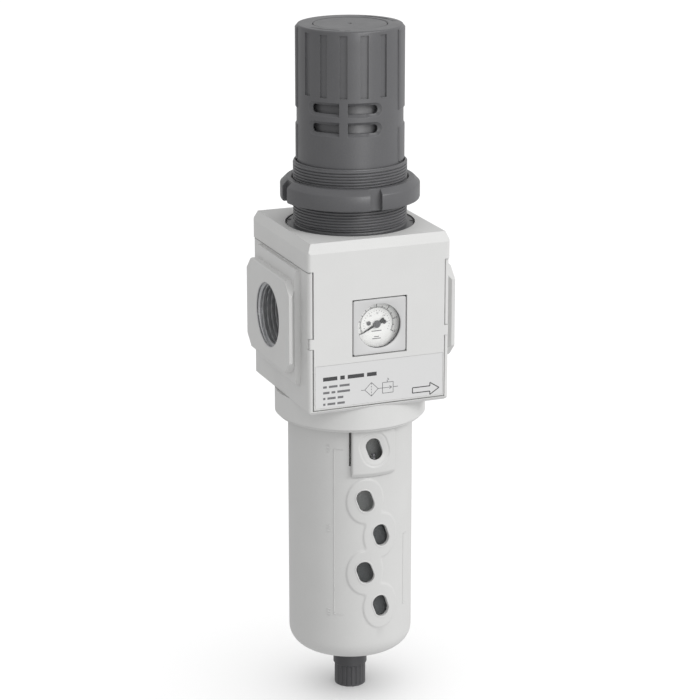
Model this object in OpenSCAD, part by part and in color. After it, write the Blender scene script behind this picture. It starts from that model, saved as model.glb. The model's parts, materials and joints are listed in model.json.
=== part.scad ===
/* [Body] */
// Side to side width of the die-cast block
body_w = 76; // [72:1:82]
// Front to back depth of the block over its panels
body_d = 80; // [76:1:88]
// Height of the block under the top cover's face
body_h = 88; // [86:1:96]
// Radius of the block's upright corners
corner_r = 2; // [1:0.5:3]
// Height of the port axis above the lowest point of the drain
port_z = 209; // [205:1:215]
// Port axis up to the top face of the cover
port_to_top = 45; // [45:0.5:47]

/* [Ports] */
// Distance from one port face to the other
port_span = 90; // [88:1:100]
// Outer radius of the port thread (G1)
port_r = 16.65; // [13:0.05:16.7]
// Depth of each port's bore
port_depth = 18.5; // [16:0.5:19]
// Width of the octagonal port flange
flange_w = 62; // [56:1:66]
// Height of the octagonal port flange
flange_h = 48; // [44:1:50]

/* [Cover] */
// Thickness of the moulded cover
cover_t = 2.6; // [2:0.1:3]
// How far the cover's upper bevel steps in
bevel_in = 2.2; // [1:0.1:3]
// Height of the cover's upper bevel
bevel_h = 5; // [3:0.5:7]
// Depth of the cover's side skirts
skirt_h = 13.9; // [10:0.1:18]
// Width of the front and rear panels
panel_w = 70.4; // [64:0.2:72]
// Side of the square gauge window
window = 29.4; // [28:0.2:31]

/* [Bonnet] */
// Radius over the panel-mounting thread
neck_r = 28.86; // [28:0.02:29.5]
// Height of the threaded neck above the cover
neck_h = 32.4; // [28:0.1:34]
// Pitch of the panel-mounting thread
neck_pitch = 1.5; // [1:0.25:2]
// Radius of the panel nut
nut_r = 35.4; // [33:0.1:38]
// Height of the panel nut
nut_h = 11; // [8:0.5:12]

/* [Knob] */
// Radius of the adjusting knob
knob_r = 27.2; // [26.6:0.1:27.3]
// Height of the knob
knob_h = 71.5; // [68:0.5:75]
// Pull needed to unlock the knob
knob_pull = 5; // [3:0.5:6]
// Travel of the spring plate from slack to full pressure
plate_travel = 10; // [6:1:12]

/* [Bowl] */
// Outer radius of the metal bowl guard
guard_r = 32.3; // [31.5:0.1:33]
// Outer radius of the collar that takes the bowl
collar_r = 39; // [38:0.1:40]
// Depth of the collar under the block
collar_h = 13; // [12:0.5:16]
// Underside of the guard above the drain's end
guard_z = 24.5; // [22:0.5:28]
// Distance between sight slots, one above the other
slot_pitch = 19.6; // [17:0.2:21]
// Outer radius of the filter element
element_r = 18.5; // [15:0.5:20]

/* [Gauge] */
// Radius of the visible dial
dial_r = 11.5; // [10:0.1:12]
// Sweep of the pointer in degrees
sweep = 234; // [200:1:270]

/* [Hidden] */
$fn = 96;

eps = 0.5;                                // overrun of a cut past the face it opens
run = 0.06;                               // radial clearance of a running fit
gap = 0.3;                                // clearance between parts that pass each other
half_w = body_w / 2;
half_d = body_d / 2;
top_z = port_z + port_to_top;
base_z = top_z - body_h;
skirt_z = top_z - skirt_h;
deck_z = top_z - cover_t - 0.8;           // top of the casting, under the cover
shell = cover_t - 0.5;                    // thickness of the cover's side skirts
face_y = half_d - 0.4;                    // casting's corner columns, just inside the panels
floor_y = half_d - cover_t;               // casting's face behind a panel
panel_z = base_z + 2.4;
tab_z = base_z + 34.5;
half_port = port_span / 2;
neck_crown = port_to_top - skirt_h - 1.2; // half height of the flange's foot, just under the skirt

diaphragm_z = port_z + 23;                // ledge that holds the diaphragm's rim
diaphragm_t = 1.6;
bead_r = 30.6;
lift = 2.5;                               // valve travel
chamber_z = diaphragm_z - 5.5;            // floor of the sensing chamber
outlet_z = port_z + 7;                    // floor of the outlet chamber
seat_top = outlet_z - 2.5;
seat_h = 4;
seat_bore = 6.5;
valve_r = 11;                             // bore of the valve chamber
column_r = 16;
column_z = port_z - 33;                   // lower end of the valve column
guide_top = column_z + 8;
stem_r = 2;
tail_r = 3;
poppet_z = port_z - 5.5;

bonnet_bore = 25;
male_r = 31;                              // bonnet's thread in the casting
flange_r = 32.7;
neck_top = top_z + neck_h;
tube_r = knob_r - 3.7;                    // bonnet's inner tube, inside the knob
tube_bore = tube_r - 3;
knob_sink = 3;                            // depth of the knob's lower edge in the neck's rim
knob_z = neck_top - knob_sink;
knob_top = knob_z + knob_h;
roof_z = knob_top - 24;                   // underside of the bonnet's roof
roof_t = 4;
screw_r = 5;
plate_z = roof_z - 19;                    // spring plate at its slack place
spring_z = diaphragm_z + 8;
key_w = 5;
spring_r = tube_bore - 4;                 // mean radius of the regulating spring
key_r = tube_bore + 1;
hex_r = 5.77;                             // hexagon across corners of the screw's drive
cap_r = knob_r - 8.7;
cap_z = knob_top - 3;
window_z = knob_top - 47.9;               // lower row of the knob's windows
window_pitch = 9.8;
window_h = 4.3;
window_from = 4.5;
window_to = 36.5;
knob_turned = -28.8;                      // angle of the bar between the knob's windows
wing_z = knob_top - 49.4;                 // top of the lower side wings
flute_h = 31;

collar_z = base_z - collar_h;
lug_z = collar_z + 7;
lug_h = 4;
lug_r = guard_r + 2.3;
lug_span = 36;
bowl_r = guard_r - 1.9;
bowl_t = 2.5;
vane_r = bowl_r - bowl_t - 0.6;            // radius over the deflector's vanes
bowl_z = guard_z + 2.3;
bowl_top = base_z + 18;
guard_t = 1.4;
slot_low = guard_z + 30.6;                // centre of the lowest sight slot
slot_turn = 7.7;
slot_tilt = 20;
slot_hw = 4;
slot_reach = 2;                           // half the straight part of a slot
slider_r = guard_r + 2.3;
slider_span = 41;
slider_z = collar_z - 25.8;
slider_h = 25.5;
tongue_z = collar_z - 14;
slider_travel = 4.5;
slider_slot_z = tongue_z - slider_travel - 5.5;

drain_r = 8.9;
drain_z = 11.4;                           // upper end of the fluted drain knob
shank_r = 5.9;
seat_z = bowl_z + 7.5;                    // drain seat, inside the bowl

element_z = base_z - 71;
element_top = column_z - 14;
rod_r = 2.9;

gauge_y = half_d - 0.3;
dial_y = gauge_y - 4;
pinion_r = 1.2;
sector_r = 6;
pivot_drop = pinion_r + sector_r + 0.1;

light = "Gainsboro";                      // preview colours
dark = "DimGray";
steel = "Silver";

// ---------- shared shapes ----------
module disc(r, z0, z1) {
    translate([0, 0, z0]) cylinder(r = r, h = z1 - z0);
}

module tube(outer, inner, z0, z1) {
    difference() {
        disc(outer, z0, z1);
        disc(inner, z0 - eps, z1 + eps);
    }
}

module slab(w, d, z0, z1) {
    translate([-w / 2, -d / 2, z0]) cube([w, d, z1 - z0]);
}

module rounded(w, d, r) {
    square([w - 2 * r, d], center = true);
    square([w, d - 2 * r], center = true);
    for (x = [-1, 1], y = [-1, 1])
        translate([x * (w / 2 - r), y * (d / 2 - r)]) circle(r);
}

module block(w, d, r, z0, z1) {
    translate([0, 0, z0]) linear_extrude(z1 - z0) rounded(w, d, r);
}

module wedge(outer, from, to) {           // pie slice from one angle to another, 0 at the front
    polygon([[0, 0], for (i = [0:4]) let (a = from + (to - from) * i / 4)
        [outer * sin(a), -outer * cos(a)]]);
}

module arc(outer, inner, from, to, z0, z1) {
    intersection() {
        tube(outer, inner, z0, z1);
        translate([0, 0, z0 - eps]) linear_extrude(z1 - z0 + 2 * eps) wedge(outer * 1.4, from, to);
    }
}

module ring(r, section) {                 // o-ring, centred on the origin
    rotate_extrude() translate([r, 0]) circle(section);
}

module along_y(y) {                       // lays a piece drawn upwards along -Y, behind the dial
    translate([0, -y, port_z]) rotate([90, 0, 0]) children();
}

function coil_point(r, wire, pitch, turns, i, steps, k, sides) =
    let (a = 360 * turns * i / steps, b = 360 * k / sides, q = r + wire * cos(b))
    [q * cos(a), q * sin(a), pitch * turns * i / steps + wire * sin(b)];

module coil(r, wire, height, turns) {     // wound spring standing on the origin
    sides = 8;
    steps = turns * 14;
    rise = (height - 2 * wire) / turns;
    translate([0, 0, wire]) polyhedron(
        [for (i = [0:steps], k = [0:sides - 1]) coil_point(r, wire, rise, turns, i, steps, k, sides)],
        [[for (k = [0:sides - 1]) k],
         for (i = [0:steps - 1], k = [0:sides - 1])
            [i * sides + k, (i + 1) * sides + k,
             (i + 1) * sides + (k + 1) % sides, i * sides + (k + 1) % sides],
         [for (k = [sides - 1:-1:0]) steps * sides + k]]);
}

// ---------- casting and cover ----------
module octagon(w, h, cut) {
    polygon([for (s = [[-1, -1], [1, -1], [1, 1], [-1, 1]]) each
        let (a = [s[0] * (w / 2 - cut), s[1] * h / 2], b = [s[0] * w / 2, s[1] * (h / 2 - cut)])
        s[0] * s[1] > 0 ? [b, a] : [a, b]]);
}

module mirrored_outline(points) {         // outline given by its upper half, from the wall outwards
    polygon(concat(points, [for (i = [len(points) - 1:-1:0]) [points[i][0], -points[i][1]]]));
}

module port_flange() {
    side = flange_w / 2;
    crown = flange_h / 2;
    intersection() {
        union() {
            translate([half_w - 1, 0, port_z]) rotate([90, 0, 90])
                linear_extrude(4.2) rounded(flange_w - 2, neck_crown * 2, 3);
            translate([half_w + 2, 0, port_z]) rotate([90, 0, 90])
                linear_extrude(half_port - half_w - 2) octagon(flange_w, flange_h, 6.5);
        }
        translate([0, 0, port_z - flange_h]) linear_extrude(2 * flange_h)
            mirrored_outline([[half_w - 1, side - 2.4], [half_w + 3.2, side - 2.4],
                [half_port - 1.8, side], [half_port, side]]);
        translate([0, flange_w, port_z]) rotate([90, 0, 0]) linear_extrude(2 * flange_w)
            mirrored_outline([[half_w - 1, neck_crown], [half_w + 2, neck_crown],
                [half_w + 3.4, crown + 1.2], [half_port - 0.6, crown], [half_port, crown - 0.6]]);
    }
}

module port_cut() {
    translate([half_port + eps, 0, port_z]) rotate([0, -90, 0]) cylinder(r = port_r, h = port_depth + eps);
}

module gauge_pocket() {
    along_y(face_y + eps) mirror([0, 0, 1]) cylinder(r = 13.6, h = face_y + eps - 25);
    translate([0, -floor_y + 10, outlet_z + 0.2]) rotate([-90, 0, 0]) cylinder(r = 2, h = 20);
}

module rear_port() {
    translate([0, face_y + eps, port_z]) rotate([90, 0, 0]) cylinder(r = 5.75, h = 16);
    translate([0, 10, outlet_z + 0.2]) rotate([-90, 0, 0]) cylinder(r = 2, h = 18);
}

module bowl_socket() {
    difference() {
        union() {
            disc(lug_r + 0.4, collar_z + 5, collar_z + 19);
            disc(guard_r + 0.4, collar_z - eps, collar_z + 6);
            for (a = [0, 120, 240]) arc(lug_r + 0.4, guard_r - 2, a - 25, a + 25, collar_z - eps, collar_z + 6);
            disc(bowl_r + 0.4, collar_z + 15, bowl_top + gap);
            tube(bowl_r - 2.4, column_r, bowl_top, bowl_top + 7);
            intersection() {
                tube(bowl_r - 2.4, column_r, bowl_top, port_z);
                translate([-40, -18, bowl_top]) cube([28, 36, 60]);
            }
        }
        disc(column_r, column_z, top_z);
    }
}

module bores() {
    disc(male_r + run, diaphragm_z, top_z);
    disc(24.5, chamber_z, diaphragm_z + eps);
    disc(stem_r + run, outlet_z, diaphragm_z);
    translate([9, 0, 0]) disc(1.2, outlet_z, diaphragm_z);
    disc(9, seat_top - eps, outlet_z + eps);
    disc(13, outlet_z, chamber_z - 3.5);
    disc(valve_r, collar_z, seat_top);
    translate([0, 0, outlet_z + 1]) rotate([0, 90, 0]) cylinder(r = 7, h = half_port - 15);
    translate([-30, 0, port_z]) rotate([0, 90, 0]) cylinder(r = 12, h = 13);
}

module body() {
    color(light) difference() {
        union() {
            bevelled(body_w, 2 * face_y, base_z, 1.6, 1.6, skirt_z - gap, 0.1, 0.1);
            block(body_w - 2 * shell - 1, 2 * floor_y, corner_r, skirt_z - 1, deck_z);
            disc(collar_r, collar_z + 1.5, base_z + 1);
            disc(collar_r - 1.5, collar_z, collar_z + 2);
            for (x = [0, 1]) mirror([x, 0, 0]) port_flange();
        }
        for (y = [0, 1]) mirror([0, y, 0])
            translate([-panel_w / 2 - 0.2, -face_y - eps, panel_z - 0.2])
                cube([panel_w + 0.4, face_y - floor_y + eps, body_h]);
        for (x = [0, 1], y = [0, 1]) mirror([x, 0, 0]) mirror([0, y, 0])
            translate([panel_w / 2 - 1, -face_y - eps, tab_z - 0.2]) cube([8, 1.5 + eps, 5.6]);
        for (x = [0, 1]) mirror([x, 0, 0]) port_cut();
        bowl_socket();
        bores();
        gauge_pocket();
        rear_port();
    }
}

module bevel_prism(h, turned, z0, in0, up0, z1, in1, up1) {
    rotate([90, 0, turned]) translate([0, 0, -body_d]) linear_extrude(2 * body_d)
        polygon([[in0 - h, z0], [h - in0, z0], [h, z0 + up0], [h, z1 - up1],
            [h - in1, z1], [in1 - h, z1], [-h, z1 - up1], [-h, z0 + up0]]);
}

module bevelled(w, d, z0, in0, up0, z1, in1, up1) {   // block with bevelled lower and upper edges
    intersection() {
        block(w, d, corner_r, z0, z1);
        bevel_prism(w / 2, 0, z0, in0, up0, z1, in1, up1);
        bevel_prism(d / 2, 90, z0, in0, up0, z1, in1, up1);
    }
}

module cover() {
    color(light) difference() {
        union() {
            bevelled(body_w + 0.6, body_d, panel_z, 0.5, 0.5, top_z, bevel_in, bevel_h);
            for (x = [0, 1], y = [0, 1]) mirror([x, 0, 0]) mirror([0, y, 0])
                translate([panel_w / 2 - 1, -face_y, tab_z]) cube([half_w - panel_w / 2 + 0.6, 1.2, 5.2]);
        }
        slab(body_w - 2 * shell - 0.9, 2 * floor_y + 0.1, panel_z - 5, deck_z + 0.1);
        for (x = [0, 1]) mirror([x, 0, 0]) {
            translate([panel_w / 2, -body_d, panel_z - 5]) cube([9, 2 * body_d, tab_z - panel_z + 5]);
            translate([panel_w / 2, -body_d, tab_z + 5.2]) cube([9, 2 * body_d, skirt_z - tab_z - 5.2]);
            translate([panel_w / 2, -floor_y - 0.9, tab_z - 1]) cube([9, 2 * floor_y + 1.8, 9]);
        }
        disc(flange_r + 0.2, deck_z - 1, top_z + eps);
        translate([-window / 2, -body_d, port_z - window / 2]) cube([window, 2 * body_d, window]);
        translate([-34.6, -half_d - eps, panel_z + 1]) cube([69.2, eps + 0.2, 22]);
    }
}

module label() {
    color("WhiteSmoke") translate([-34.5, -half_d + 0.02, panel_z + 1.1]) cube([69, 0.18, 21.8]);
}

module rear_plate() {
    color(light) translate([-window / 2 + 0.1, floor_y, port_z - window / 2 + 0.1])
        cube([window - 0.2, cover_t - 0.5, window - 0.2]);
}

module rear_plug() {
    color("GoldenRod") translate([0, floor_y - 0.1, port_z]) rotate([90, 0, 0]) difference() {
        cylinder(r = 5.7, h = 9);
        translate([0, 0, -eps]) cylinder(r = 2.9, h = 4, $fn = 6);
    }
}

module rear_plug_seal() {
    color("Black") translate([0, floor_y - 9.3, port_z]) rotate([90, 0, 0]) difference() {
        cylinder(r = 5.6, h = 1);
        translate([0, 0, -eps]) cylinder(r = 3.6, h = 2);
    }
}

// ---------- bonnet, nut and knob ----------
module bonnet_outline() {
    root = neck_r - 0.6;
    turns = floor((neck_h - 3) / neck_pitch);
    rotate_extrude() polygon([[0, diaphragm_z + diaphragm_t], [male_r, diaphragm_z + diaphragm_t],
        [male_r, deck_z], [flange_r, deck_z], [flange_r, top_z - 1.1], [flange_r - 0.8, top_z - 0.3],
        [root, top_z - 0.3],
        for (i = [0:turns - 1]) let (z = top_z + 1 + i * neck_pitch)
            each [[root, z], [neck_r, z + 0.6], [neck_r, z + 0.8], [root, z + 1.4]],
        [root, neck_top], [0, neck_top]]);
}

module bonnet() {
    ribs = 40;
    color(dark) difference() {
        union() {
            bonnet_outline();
            disc(tube_r, neck_top - 4, roof_z + roof_t);
            translate([0, 0, neck_top + 2]) linear_extrude(roof_z - neck_top - 4) for (i = [0:ribs - 1])
                rotate(i * 360 / ribs) translate([tube_r - 0.3, -0.8]) square([0.9, 1.6]);
        }
        disc(bonnet_bore, diaphragm_z, neck_top - knob_sink - 3);
        disc(tube_bore, neck_top - knob_sink - 4, roof_z);
        tube(knob_r + 0.25, tube_r, neck_top - knob_sink - 0.5, neck_top + eps);
        disc(6 + run, roof_z - eps, roof_z + roof_t + eps);
        slab(2 * key_r + 0.6, key_w + 0.4, plate_z - plate_travel - 1, roof_z - 6);
        for (a = [-24, 66, 156, 246]) rotate(a)
            translate([-4, -flange_r - 1, top_z - 2.6]) cube([8, 3, 4]);
        translate([0, 0, neck_top + 1]) rotate([0, 90, 45]) cylinder(r = 0.8, h = 40);
    }
}

module ring_nut() {
    nut_z = top_z + 12.5;
    color(dark) difference() {
        translate([0, 0, nut_z]) rotate_extrude() polygon([[neck_r + 1, 0], [nut_r - 0.6, 0],
            [nut_r, 0.6], [nut_r, nut_h - 2.9], [nut_r - 3, nut_h], [neck_r + 1, nut_h],
            [neck_r + 0.09, nut_h - 0.9], [neck_r + 0.09, 0.9]]);
        for (a = [0:90:270]) rotate(a)
            translate([-3.2, -nut_r - eps, nut_z - eps]) cube([6.4, 3 + eps, nut_h + 2 * eps]);
    }
}

module knob_wall(inner) {
    rotate_extrude() polygon([[inner, knob_z], [knob_r - 0.4, knob_z], [knob_r, knob_z + 0.6],
        [knob_r - 0.3, knob_top - 1.6], [knob_r - 1.7, knob_top - 0.2], [knob_r - 2, knob_top],
        [inner, knob_top]]);
}

module knob_windows() {
    for (half = [0, 180], s = [-1, 1], row = [0, 1]) translate([0, 0, window_z + row * window_pitch - window_h / 2])
        rotate(half) linear_extrude(window_h)
            wedge(2 * knob_r, s < 0 ? -window_to : window_from, s < 0 ? -window_from : window_to);
}

module knob() {
    color(dark) rotate(knob_turned) difference() {
        union() {
            knob_wall(knob_r - 2.5);
            disc(knob_r - 2.2, knob_top - 5.5, knob_top);
            disc(9, roof_z + roof_t + 3, knob_top - 5);
            for (side = [-90, 90]) {
                arc(knob_r + 0.7, knob_r - 1.2, side - 20, side + 20, neck_top + 0.4, wing_z);
                arc(knob_r + 0.7, knob_r - 1.2, side - 20, side + 20, wing_z + 7.7, knob_top - 2.5);
            }
        }
        disc(cap_r + 0.1, cap_z, knob_top + eps);
        translate([0, 0, roof_z]) cylinder(r = hex_r + 0.07, h = 19.5, $fn = 6);
        knob_windows();
        for (half = [0, 180], a = [-45:22.5:45]) rotate(half + a)
            translate([-1.9, -knob_r - 1, knob_top - flute_h - 1.5]) cube([3.8, 1.8, flute_h]);
    }
}

module knob_cap() {
    color(dark) rotate(knob_turned) difference() {
        disc(cap_r, cap_z, knob_top - 0.8);
        disc(1.2, knob_top - 1.3, knob_top);
    }
}

module adjusting_screw() {
    color(steel) {
        rotate(knob_turned) translate([0, 0, roof_z + roof_t]) cylinder(r = hex_r, h = knob_pull + 9, $fn = 6);
        difference() {
            disc(6, roof_z - 2, roof_z + roof_t + 0.6);
            tube(8, 5.4, roof_z + roof_t + 0.02, roof_z + roof_t + 1);
        }
        disc(9.5, roof_z - 4, roof_z - 1.05);
        disc(screw_r, roof_z - 50, roof_z - 3);
    }
}

module thrust_washer() {
    color("BurlyWood") tube(11, 6.1, roof_z - 1, roof_z);
}

module screw_circlip() {
    color(steel) arc(7.6, 5.9, 30, 330, roof_z + roof_t + 0.1, roof_z + roof_t + 1.1);
}

module spring_plate() {
    color(steel) difference() {
        union() {
            disc(tube_bore - 0.3, plate_z, plate_z + 4);
            disc(9, plate_z - 7, plate_z + 6);
            slab(2 * key_r, key_w, plate_z, plate_z + 4);
        }
        disc(screw_r + run, plate_z - 8, plate_z + 8);
    }
}

module regulating_spring() {
    color(steel) translate([0, 0, spring_z]) coil(spring_r, 1.9, plate_z - spring_z, 7);
}

// ---------- sensing and valve ----------
module pressure_plate() {
    color("LightGray") difference() {
        union() {
            disc(spring_r + 5.5, diaphragm_z + diaphragm_t, spring_z);
            disc(spring_r - 2.5, spring_z - 1, spring_z + 3);
            disc(4, diaphragm_z - 1.6, spring_z);
        }
        disc(1, diaphragm_z - 3, spring_z + 4);
        tube(spring_r + 6, spring_r + 3, spring_z - 2, spring_z + eps);
    }
}

module diaphragm() {
    color("DarkSlateGray") rotate_extrude() polygon([[4.05, diaphragm_z], [bead_r, diaphragm_z],
        [bead_r, diaphragm_z + diaphragm_t], [24.4, diaphragm_z + diaphragm_t],
        [23.4, diaphragm_z + 3], [22.5, diaphragm_z + diaphragm_t], [4.05, diaphragm_z + diaphragm_t]]);
}

module backing_plate() {
    color("LightGray") tube(20, 4.02, diaphragm_z - 1.6, diaphragm_z);
}

module valve_stem() {
    color(steel) disc(stem_r, poppet_z + 6, diaphragm_z - 1.62);
}

module valve_poppet() {
    color("GoldenRod") {
        disc(9.2, poppet_z, poppet_z + 4);
        disc(tail_r, guide_top - 1, poppet_z);
        disc(stem_r, poppet_z, poppet_z + 6);
    }
}

module valve_washer() {
    color("Black") tube(8.6, stem_r + 0.03, poppet_z + 4, seat_top - seat_h - 0.02);
}

module valve_seat() {
    color("GoldenRod") difference() {
        disc(valve_r - 0.04, seat_top - seat_h, seat_top - 0.02);
        disc(seat_bore, seat_top - seat_h - eps, seat_top + eps);
    }
}

module valve_spring() {
    color(steel) translate([0, 0, guide_top]) coil(5.4, 0.6, poppet_z - guide_top, 7);
}

module valve_guide() {
    color("GoldenRod") difference() {
        union() {
            disc(valve_r - 0.04, column_z, guide_top);
            disc(4.4, column_z, guide_top + 5);
        }
        disc(tail_r + run, guide_top - 3 - lift, guide_top + 6);
        disc(rod_r + 0.04, column_z - eps, column_z + 2);
        for (a = [0:60:300]) rotate(a) translate([8, 0]) disc(1.8, column_z - eps, guide_top + eps);
        tube(valve_r + eps, 10.4, column_z + 5, column_z + 6.6);
    }
}

module guide_seal() {
    color("Black") translate([0, 0, column_z + 5.8]) ring(10.68, 0.26);
}

// ---------- filter ----------
module deflector() {
    vanes = 12;
    color(dark) difference() {
        union() {
            disc(21, element_top - 2, column_z - 0.02);
            disc(vane_r, column_z - 10, column_z - 4);
        }
        disc(8, element_top - 4, column_z + eps);
        disc(element_r + 0.2, element_top - 4, element_top);
        for (i = [0:vanes - 1]) rotate(i * 360 / vanes) translate([vane_r - 2.8, 0, column_z - 7])
            rotate([35, 0, 0]) cube([6.6, 2.4, 16], center = true);
    }
}

module filter_element() {
    color("White") tube(element_r, element_r - 3.5, element_z + 1, element_top - 1);
}

module element_gaskets() {
    color("Black") for (z = [element_z, element_top - 1]) tube(element_r, element_r - 3.5, z, z + 0.98);
}

module baffle() {
    color("DarkSlateGray") difference() {
        union() {
            disc(22.5, element_z - 3, element_z);
            tube(22.5, 20.5, element_z - 12, element_z - 2);
            disc(8, element_z - 12, element_z - 2);
            for (a = [0:45:315]) rotate(a) translate([7, -1, element_z - 11]) cube([14, 2, 9]);
        }
        disc(rod_r + 0.04, element_z - 13, element_z + eps);
    }
}

module centre_rod() {
    color(steel) {
        disc(rod_r, element_z - 13, column_z + 1.9);
        translate([0, 0, element_z - 15]) cylinder(r = 5, h = 2.98, $fn = 6);
    }
}

// ---------- bowl ----------
module cup(outer, wall, z0, z1, round_r) {    // turned cup with a rounded bottom edge
    inner = outer - wall;
    small = round_r - wall;
    function bend(r, c, from) = [for (i = [0:6]) let (a = from + 15 * i * (from < 0 ? 1 : -1))
        [c[0] + r * cos(a), c[1] + r * sin(a)]];
    c = [outer - round_r, z0 + round_r];
    rotate_extrude() polygon(concat([[0, z0]], bend(round_r, c, -90), [[outer, z1], [inner, z1]],
        bend(small, c, 0), [[0, z0 + wall]]));
}

module bowl() {
    color("LightCyan", 0.5) difference() {
        cup(bowl_r, bowl_t, bowl_z, bowl_top, 9);
        disc(shank_r + 0.04, bowl_z - 1, bowl_z + 5);
        tube(bowl_r + eps, bowl_r - 1.3, bowl_top - 6, bowl_top - 3.4);
    }
}

module bowl_seal() {
    color("Black") translate([0, 0, bowl_top - 4.7]) ring(bowl_r - 0.42, 0.78);
}

module sight_slot(turned, z) {
    rotate(turned) translate([0, 0, z]) rotate([90, 0, 0]) rotate(slot_tilt) {
        for (s = [-1, 1]) translate([0, s * slot_reach, 0]) cylinder(r = slot_hw, h = 2 * guard_r);
        translate([-slot_hw, -slot_reach, 0]) cube([2 * slot_hw, 2 * slot_reach, 2 * guard_r]);
    }
}

module bowl_guard() {
    color(light) difference() {
        union() {
            cup(guard_r, guard_t, guard_z, lug_z + lug_h, 10);
            for (a = [0, 120, 240]) arc(lug_r, guard_r - 1, a - lug_span / 2, a + lug_span / 2, lug_z, lug_z + lug_h);
        }
        disc(shank_r + 0.04, guard_z - 1, guard_z + 4);
        for (half = [0, 180], i = [0:3])
            sight_slot(half + (i % 2 == 0 ? slot_turn : -slot_turn), slot_low + i * slot_pitch);
        translate([-3, -guard_r - 1, slider_slot_z]) cube([6, 5, tongue_z + 8 - slider_slot_z]);
        for (s = [-1, 1]) rotate(s * (slider_span / 2 + 1.2))
            translate([-0.6, -guard_r - 1, slider_z + 6]) cube([1.2, 4, slider_h - 6]);
    }
}

module lock_slider() {
    color(light) difference() {
        union() {
            arc(slider_r, guard_r + 0.1, -slider_span / 2, slider_span / 2, slider_z, slider_z + slider_h);
            translate([-2.8, -guard_r - 0.8, tongue_z]) cube([5.6, 1.8, 7.5]);
        }
        translate([0, -guard_r + 0.2, tongue_z + 3]) rotate([90, 0, 0]) rotate(slot_tilt) {
            for (s = [-1, 1]) translate([0, s * slot_reach]) cylinder(r = slot_hw, h = 5);
            translate([-slot_hw, -slot_reach]) cube([2 * slot_hw, 2 * slot_reach, 5]);
        }
        translate([-1.7, -guard_r - 1.2, slider_slot_z - 1]) cube([3.4, 2.5, tongue_z - slider_slot_z + 1]);
    }
}

module slider_spring() {
    color(steel) translate([0, -guard_r + 0.4, slider_slot_z])
        coil(1, 0.22, tongue_z - slider_slot_z, 8);
}

// ---------- drain ----------
module drain_body() {
    color("DarkSlateGray") difference() {
        union() {
            disc(shank_r, drain_z - 4, seat_z - 2);
            disc(8.5, bowl_z + bowl_t + 1, seat_z);
        }
        disc(3, drain_z - 5, guard_z);
        disc(2, guard_z - 1, seat_z + eps);
    }
}

module drain_nut() {
    color("DarkSlateGray") difference() {
        translate([0, 0, drain_z + 0.1]) rotate_extrude()
            polygon([[shank_r + 0.04, 0], [drain_r - 0.5, 0], [drain_r, 0.5],
                [drain_r, guard_z - drain_z - 0.1], [shank_r + 0.04, guard_z - drain_z - 0.1]]);
    }
}

module drain_washer() {
    color("Black") tube(8.5, shank_r + 0.04, bowl_z + bowl_t, bowl_z + bowl_t + 1);
}

module drain_knob() {
    flutes = 20;
    color("DarkSlateGray") difference() {
        disc(8.2, 0, drain_z);
        disc(4.28, -eps, 7);
        disc(shank_r + run, drain_z - 4.3, drain_z + eps);
        for (i = [0:flutes - 1]) rotate(i * 360 / flutes) translate([8.45, 0, 1]) cylinder(r = 0.6, h = drain_z);
    }
}

module drain_plunger() {
    color("GoldenRod") {
        disc(4.2, seat_z + 0.02, seat_z + 2.4);
        disc(1.5, drain_z - 2.4, seat_z + 1);
        disc(2.8, drain_z + 1, drain_z + 2);
    }
}

module drain_spring() {
    color(steel) translate([0, 0, drain_z + 2]) coil(2.3, 0.35, guard_z - drain_z - 3, 6);
}

// ---------- gauge ----------
module gauge_case() {
    color("DarkSlateGray") along_y(26) difference() {
        union() {
            cylinder(r = 13.5, h = gauge_y - 28);
            translate([0, 0, -0.9]) cylinder(r = 5, h = 1.4);
        }
        translate([0, 0, 1.5]) cylinder(r = 12.7, h = 20);
        translate([0, 0, -2]) cylinder(r = 1.2, h = 5);
    }
}

module gauge_bezel() {
    color("WhiteSmoke") along_y(gauge_y - 2) difference() {
        linear_extrude(2) rounded(window - 0.4, window - 0.4, 1);
        translate([0, 0, -eps]) cylinder(r = dial_r, h = 3);
    }
}

module gauge_lens() {
    color("LightCyan", 0.4) along_y(gauge_y - 2.8) cylinder(r = 12.6, h = 0.78);
}

module gauge_dial() {
    color("White") along_y(dial_y - 0.4) difference() {
        cylinder(r = 12.6, h = 0.4);
        translate([0, 0, -eps]) cylinder(r = 0.9, h = 2);
        for (x = [-1, 1]) translate([x * 4.2, 0.7, -eps]) cylinder(r = 0.6, h = 2);
    }
}

module dial_screws() {
    color(steel) along_y(dial_y - 1) for (x = [-1, 1]) translate([x * 4.2, 0.7, 0]) {
        cylinder(r = 0.55, h = 1.1);
        translate([0, 0, 1]) cylinder(r = 0.85, h = 0.25);
    }
}

module gauge_pointer() {
    color("Black") along_y(dial_y + 0.45) rotate(90 + sweep / 2) difference() {
        union() {
            linear_extrude(0.2) polygon([[-4.3, -0.75], [0, -0.6], [9.5, -0.12], [9.5, 0.12], [0, 0.6], [-4.3, 0.75]]);
            cylinder(r = 1.2, h = 0.4);
        }
        translate([0, 0, -eps]) cylinder(r = 0.5, h = 2);
    }
}

module gauge_pinion() {
    color("GoldenRod") along_y(dial_y - 6) {
        cylinder(r = 0.48, h = 6.8);
        translate([0, 0, 1.5]) cylinder(r = pinion_r, h = 1.2);
    }
}

module gauge_sector() {
    color("GoldenRod") translate([0, 0, -pivot_drop]) along_y(dial_y - 4.5)
        rotate(90 - sweep * pinion_r / sector_r / 2) linear_extrude(1) union() {
            intersection() {
                circle(sector_r);
                polygon([[0, 0], [9, -5.6], [9, 5.6]]);
            }
            circle(1.1);
        }
}

module bourdon_tube() {
    color("GoldenRod") along_y(dial_y - 7) difference() {
        cylinder(r = 11.6, h = 3);
        translate([0, 0, -eps]) cylinder(r = 10.8, h = 4);
        translate([0, -15, -eps]) cube([20, 8, 4]);
    }
}

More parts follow.
